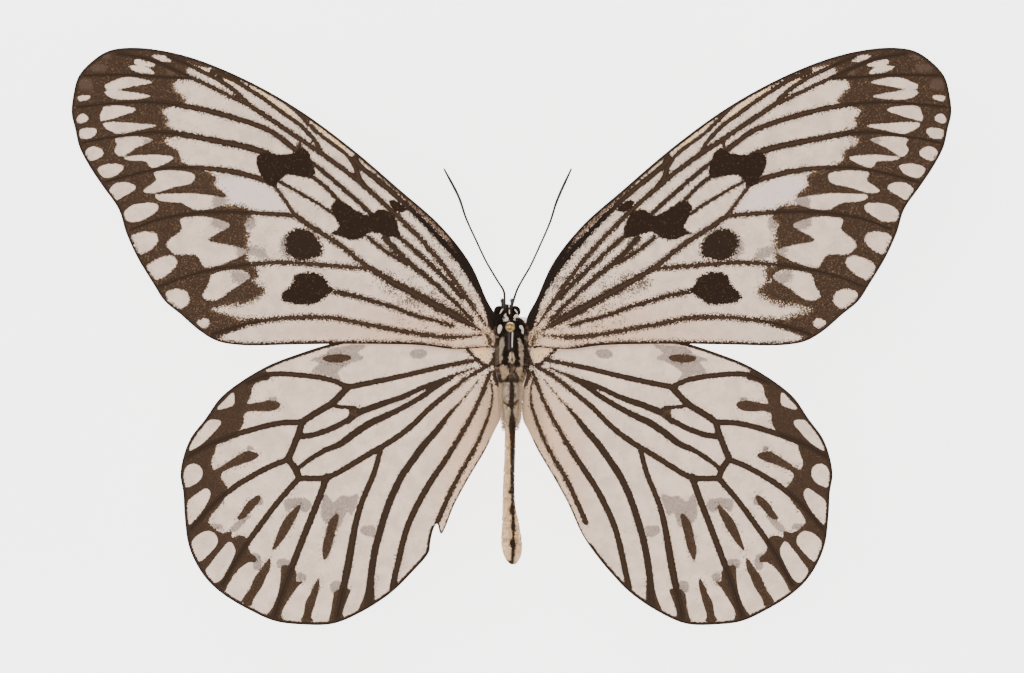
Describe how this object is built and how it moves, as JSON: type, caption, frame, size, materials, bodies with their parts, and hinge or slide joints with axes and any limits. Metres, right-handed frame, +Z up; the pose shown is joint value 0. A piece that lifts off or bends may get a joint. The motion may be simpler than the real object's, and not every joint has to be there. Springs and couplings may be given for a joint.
{
  "type": "tree nymph butterfly specimen",
  "caption": "Life-size tree nymph butterfly with spread wings, held level on a pin over a small block, as a still museum specimen.",
  "frame": {"origin": "middle of the part's outline on the ground, under the block", "axes": "+Z up, +Y towards the head, +X towards the right wings"},
  "size_m": [0.1318, 0.0867, 0.0394],
  "materials": {
    "forewing": "matt wing scales, white with dark brown veins and spots",
    "hindwing": "matt wing scales, white with dark brown veins, cream by the body",
    "body": "short dense hair, black with white spots",
    "abdomen": "short flat scales, cream with a dark line down the back",
    "eye": "glossy black",
    "limb": "dark brown horn, slightly satin",
    "pin": "polished",
    "block": "painted off-white, satin"
  },
  "bodies": {
    "root": {"forewing_left": "forewing", "forewing_right": "forewing", "hindwing_left": "hindwing", "hindwing_right": "hindwing", "head": "body", "thorax": "body", "abdomen": "abdomen", "eye_left": "eye", "eye_right": "eye", "palp_left": "limb", "palp_right": "limb", "proboscis": "limb", "antenna_left": "limb", "antenna_right": "limb", "leg_fore_left": "limb", "leg_fore_right": "limb", "leg_mid_left": "limb", "leg_mid_right": "limb", "leg_hind_left": "limb", "leg_hind_right": "limb", "stand_pin": "pin", "stand_base": "block"}
  },
  "joints": []
}
